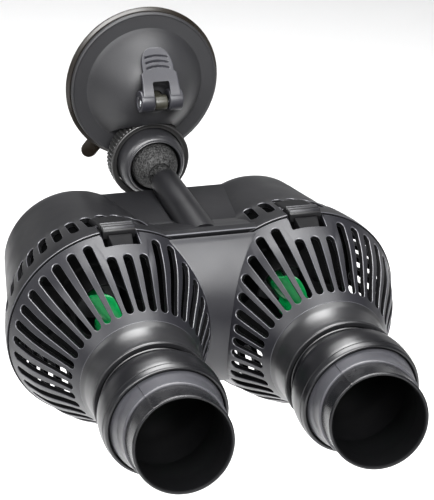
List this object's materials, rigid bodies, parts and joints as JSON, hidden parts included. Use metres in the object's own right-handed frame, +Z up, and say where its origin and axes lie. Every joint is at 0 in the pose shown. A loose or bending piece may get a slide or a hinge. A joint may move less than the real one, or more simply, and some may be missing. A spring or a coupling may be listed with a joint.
{
  "type": "wave maker pump",
  "caption": "Submersible aquarium circulation pump with twin slotted intake cages and aimable outlet nozzles, hung by a ball joint from a lever-locked suction cup.",
  "frame": {"origin": "centre of the suction cup's face, on the glass", "axes": "+Y points into the glass and is the cup's axis, +Z is up, +X is to the right seen from in front of the pump; the water leaves toward -Y"},
  "size_m": [0.1768, 0.2065, 0.154],
  "materials": {
    "cup_rubber": "satin brown-black rubber",
    "shell_plastic": "satin charcoal plastic",
    "stem_plastic": "olive-grey plastic",
    "pin_steel": "stainless pin",
    "lever_plastic": "satin grey plastic",
    "socket_plastic": "glossy black plastic",
    "nut_plastic": "glossy black ribbed plastic",
    "seat_rubber": "soft rubber",
    "ball_plastic": "grained grey plastic",
    "housing_plastic": "satin charcoal plastic",
    "cover_plastic": "satin charcoal plastic",
    "gland_rubber": "rubber",
    "motor_plastic": "dark plastic",
    "shaft_ceramic": "polished ceramic",
    "magnet_ferrite": "coated ferrite magnet",
    "core_steel": "laminated steel",
    "coil_copper": "enamelled copper wire",
    "potting_resin": "black potting resin",
    "impeller_plastic": "green plastic",
    "neck_plastic": "glossy charcoal plastic",
    "collar_plastic": "glossy charcoal plastic",
    "nozzle_plastic": "satin charcoal plastic"
  },
  "bodies": {
    "mount": {"suction_cup": "cup_rubber", "cup_shell": "shell_plastic", "ball_socket": "socket_plastic"},
    "stem": {"pull_stem": "stem_plastic", "lever_pin": "pin_steel"},
    "lever": {"lock_lever": "lever_plastic"},
    "nut": {"clamp_nut": "nut_plastic"},
    "seat": {"ball_seat": "seat_rubber"},
    "ball": {"mount_ball": "ball_plastic"},
    "pump": {"rear_housing": "housing_plastic", "front_cover": "cover_plastic", "cable_gland": "gland_rubber", "left_motor_can": "motor_plastic", "left_rear_bush": "seat_rubber", "left_shaft": "shaft_ceramic", "left_stator_core": "core_steel", "left_stator_coil": "coil_copper", "left_potting": "potting_resin", "left_front_bush": "seat_rubber", "left_shaft_support": "motor_plastic", "left_nozzle_socket": "neck_plastic", "right_motor_can": "motor_plastic", "right_rear_bush": "seat_rubber", "right_shaft": "shaft_ceramic", "right_stator_core": "core_steel", "right_stator_coil": "coil_copper", "right_potting": "potting_resin", "right_front_bush": "seat_rubber", "right_shaft_support": "motor_plastic", "right_nozzle_socket": "neck_plastic"},
    "left_latch": {"left_latch": "cover_plastic"},
    "left_rotor": {"left_impeller": "impeller_plastic", "left_rotor_magnet": "magnet_ferrite"},
    "left_collar": {"left_collar": "collar_plastic"},
    "left_nozzle": {"left_nozzle": "nozzle_plastic"},
    "right_latch": {"right_latch": "cover_plastic"},
    "right_rotor": {"right_impeller": "impeller_plastic", "right_rotor_magnet": "magnet_ferrite"},
    "right_collar": {"right_collar": "collar_plastic"},
    "right_nozzle": {"right_nozzle": "nozzle_plastic"}
  },
  "joints": [
    {"name": "stem_slide", "type": "slide", "parent": "mount", "child": "stem", "axis": [0, 1, 0], "range_m": [0, 0.0013]},
    {"name": "lever_turn", "type": "hinge", "parent": "stem", "child": "lever", "pos_m": [0, -0.0265, 0], "axis": [1, 0, 0], "range_deg": [0, 85]},
    {"name": "nut_turn", "type": "hinge", "parent": "mount", "child": "nut", "pos_m": [0, -0.0126, -0.0319], "axis": [0, 1, 0], "range_deg": [0, 270]},
    {"name": "mount_pan", "type": "hinge", "parent": "mount", "child": "seat", "pos_m": [0, -0.0218, -0.0319], "axis": [0, 0, 1], "range_deg": [-18, 18]},
    {"name": "mount_tilt", "type": "hinge", "parent": "seat", "child": "ball", "pos_m": [0, -0.0218, -0.0319], "axis": [1, 0, 0], "range_deg": [-25, 20]},
    {"name": "mount_roll", "type": "hinge", "parent": "ball", "child": "pump", "pos_m": [0, -0.0218, -0.0319], "axis": [0, 0.995, 0.1004], "range_deg": [-30, 30]},
    {"name": "left_latch_flex", "type": "hinge", "parent": "pump", "child": "left_latch", "pos_m": [-0.042, -0.09537, -0.02595], "axis": [1, 0, 0], "range_deg": [-6, 0], "stiffness_Nm_per_rad": 0.05, "springref_deg": 1.15},
    {"name": "left_rotor_spin", "type": "hinge", "parent": "pump", "child": "left_rotor", "pos_m": [-0.042, -0.09718, -0.07177], "axis": [0, 0.995, 0.1004], "continuous": true},
    {"name": "left_collar_pan", "type": "hinge", "parent": "pump", "child": "left_collar", "pos_m": [-0.042, -0.14693, -0.07678], "axis": [0, -0.1004, 0.995], "range_deg": [-5, 5]},
    {"name": "left_nozzle_tilt", "type": "hinge", "parent": "left_collar", "child": "left_nozzle", "pos_m": [-0.042, -0.17081, -0.07919], "axis": [0.9962, -0.0867, -0.0087], "range_deg": [-1, 27]},
    {"name": "right_latch_flex", "type": "hinge", "parent": "pump", "child": "right_latch", "pos_m": [0.042, -0.09537, -0.02595], "axis": [1, 0, 0], "range_deg": [-6, 0], "stiffness_Nm_per_rad": 0.05, "springref_deg": 1.15},
    {"name": "right_rotor_spin", "type": "hinge", "parent": "pump", "child": "right_rotor", "pos_m": [0.042, -0.09718, -0.07177], "axis": [0, 0.995, 0.1004], "continuous": true},
    {"name": "right_collar_pan", "type": "hinge", "parent": "pump", "child": "right_collar", "pos_m": [0.042, -0.14693, -0.07678], "axis": [0, -0.1004, 0.995], "range_deg": [-7.2, 2.8]},
    {"name": "right_nozzle_tilt", "type": "hinge", "parent": "right_collar", "child": "right_nozzle", "pos_m": [0.04292, -0.17079, -0.07919], "axis": [0.9919, -0.1264, -0.0128], "range_deg": [-1, 27]}
  ],
  "couplings": [
    {"joint": "stem_slide", "follows": "lever_turn", "m_per_rad": 0.00080889}
  ]
}
